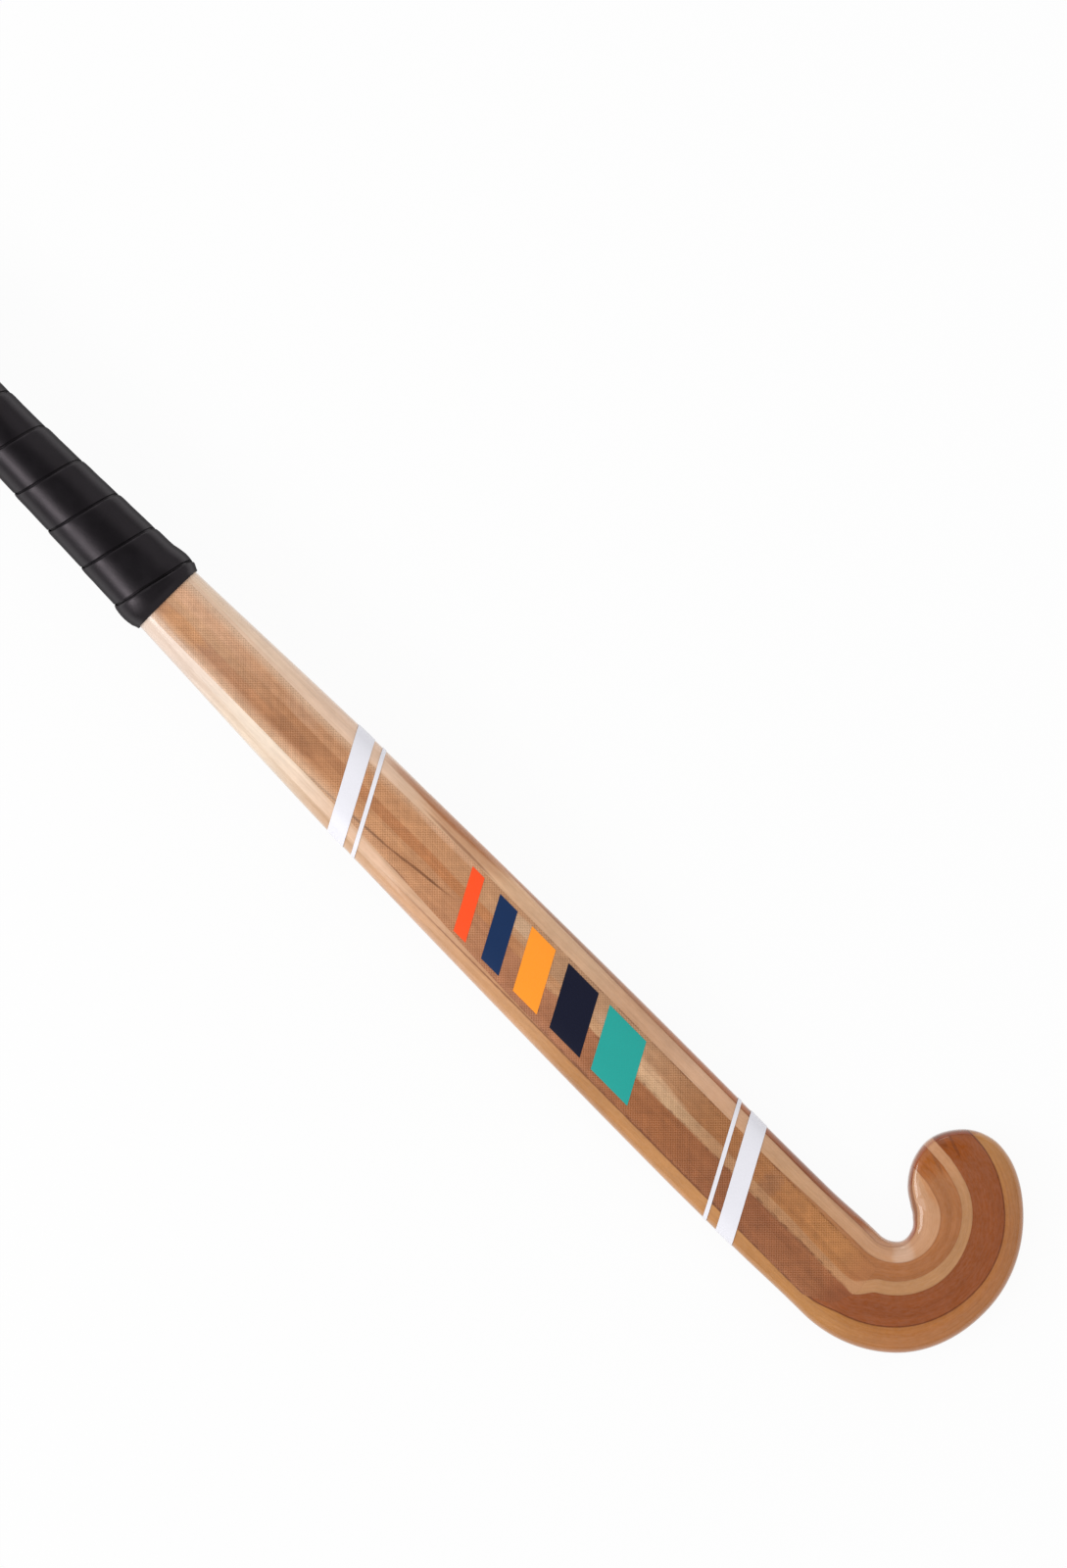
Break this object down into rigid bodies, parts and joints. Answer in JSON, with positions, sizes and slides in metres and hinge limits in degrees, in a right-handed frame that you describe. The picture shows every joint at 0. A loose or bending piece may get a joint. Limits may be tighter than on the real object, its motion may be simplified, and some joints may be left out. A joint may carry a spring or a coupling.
{
  "type": "indoor hockey stick",
  "caption": "Indoor hockey stick of bent, glued wooden plies: tight hook, flat playing face, rounded back, glass-cloth strips and a spiral-wound grip.",
  "frame": {"origin": "under the middle of the stick's overall box, on the surface that its flat face rests on", "axes": "+X from the butt to the head, +Y towards the toe of the hook, +Z out of the rounded back"},
  "size_m": [0.927, 0.1168, 0.0472],
  "materials": {
    "edge_ply": "reddish-brown veneer, clear lacquer",
    "inner_ply": "pale wood, clear lacquer",
    "brown_ply": "mid-brown wood, clear lacquer",
    "light_ply": "thin pale wood, clear lacquer",
    "dark_ply": "dark brown wood, clear lacquer",
    "heel_ply": "tan wood, clear lacquer",
    "glass_cloth": "woven glass cloth under clear lacquer",
    "grip_tape": "black soft polyurethane, satin"
  },
  "bodies": {
    "root": {"edge_ply": "edge_ply", "inner_ply": "inner_ply", "brown_ply": "brown_ply", "light_ply": "light_ply", "dark_ply": "dark_ply", "heel_ply": "heel_ply", "back_glass_cloth": "glass_cloth", "face_glass_cloth": "glass_cloth", "grip_tape": "grip_tape"}
  },
  "joints": []
}
